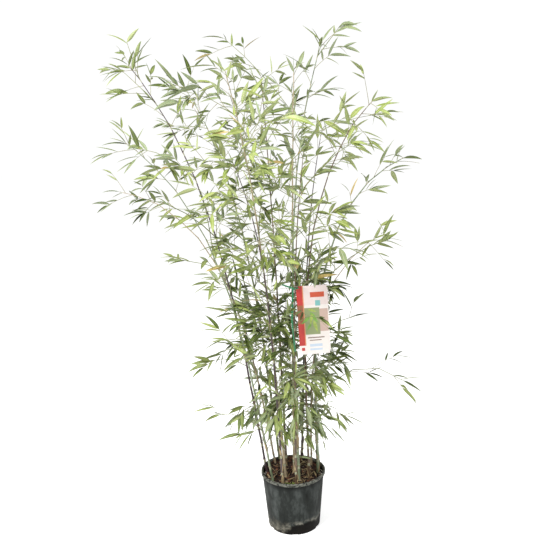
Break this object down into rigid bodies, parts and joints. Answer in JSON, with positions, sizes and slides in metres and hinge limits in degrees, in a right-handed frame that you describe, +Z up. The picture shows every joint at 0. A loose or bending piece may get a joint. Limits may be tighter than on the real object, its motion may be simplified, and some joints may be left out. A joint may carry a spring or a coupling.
{
  "type": "potted bamboo",
  "caption": "Tall clump of thin, leaning bamboo culms with airy sprays of narrow leaves, rooted in a round black nursery pot with a hanging label card.",
  "frame": {"origin": "centre of the pot's flat underside", "axes": "+Z up along the pot's axis; -Y towards the front, where the label card hangs; +X to the viewer's right"},
  "size_m": [1.2153, 1.1222, 1.7925],
  "materials": {
    "pot": "charcoal moulded polypropylene, satin, scuffed",
    "compost": "moist dark bark compost, rough",
    "culm_olive": "olive green culm, waxy satin",
    "culm_dark": "purple-black culm, waxy satin",
    "culm_tan": "straw-coloured culm with old sheaths, satin",
    "culm_grey": "grey-green culm with bloom, satin",
    "leaf_fresh": "fresh green leaves and twigs, satin",
    "leaf_grey": "grey-green leaves and twigs, satin",
    "leaf_dark": "dark green leaves and twigs, satin",
    "leaf_bright": "bright yellow-green leaves and twigs, satin",
    "label_card": "coated off-white card",
    "label_tie": "green plastic tie"
  },
  "bodies": {
    "root": {"pot": "pot", "compost": "compost", "culm_01": "culm_olive", "culm_02": "culm_dark", "culm_03": "culm_tan", "culm_04": "culm_grey", "culm_05": "culm_olive", "culm_06": "culm_dark", "culm_07": "culm_tan", "culm_08": "culm_grey", "culm_09": "culm_olive", "culm_10": "culm_dark", "culm_11": "culm_tan", "culm_12": "culm_grey", "culm_13": "culm_olive", "culm_14": "culm_dark", "foliage_01_tip": "leaf_fresh", "foliage_02_tip": "leaf_grey", "foliage_03_tip": "leaf_dark", "foliage_04_tip": "leaf_bright", "foliage_05_tip": "leaf_fresh", "foliage_06_tip": "leaf_grey", "foliage_07_tip": "leaf_dark", "foliage_08_tip": "leaf_bright", "foliage_09_tip": "leaf_fresh", "foliage_10_tip": "leaf_grey", "foliage_11_tip": "leaf_dark", "foliage_12_tip": "leaf_bright", "foliage_13_tip": "leaf_fresh", "foliage_14_tip": "leaf_grey", "foliage_01_side_1": "leaf_dark", "foliage_01_side_2": "leaf_bright", "foliage_02_side_1": "leaf_fresh", "foliage_03_side_1": "leaf_grey", "foliage_03_side_2": "leaf_dark", "foliage_04_side_1": "leaf_bright", "foliage_04_side_2": "leaf_fresh", "foliage_04_side_3": "leaf_grey", "foliage_04_side_4": "leaf_dark", "foliage_05_side_1": "leaf_bright", "foliage_05_side_2": "leaf_fresh", "foliage_06_side_1": "leaf_grey", "foliage_06_side_2": "leaf_dark", "foliage_06_side_3": "leaf_bright", "foliage_06_side_4": "leaf_fresh", "foliage_07_side_1": "leaf_grey", "foliage_07_side_2": "leaf_dark", "foliage_08_side_1": "leaf_bright", "foliage_08_side_2": "leaf_fresh", "foliage_09_side_1": "leaf_grey", "foliage_10_side_1": "leaf_dark", "foliage_10_side_2": "leaf_bright", "foliage_12_side_1": "leaf_fresh", "foliage_12_side_2": "leaf_grey", "foliage_13_side_1": "leaf_dark", "foliage_13_side_2": "leaf_bright", "foliage_14_side_1": "leaf_fresh", "foliage_14_side_2": "leaf_grey", "label_card": "label_card", "label_tie": "label_tie"}
  },
  "joints": []
}
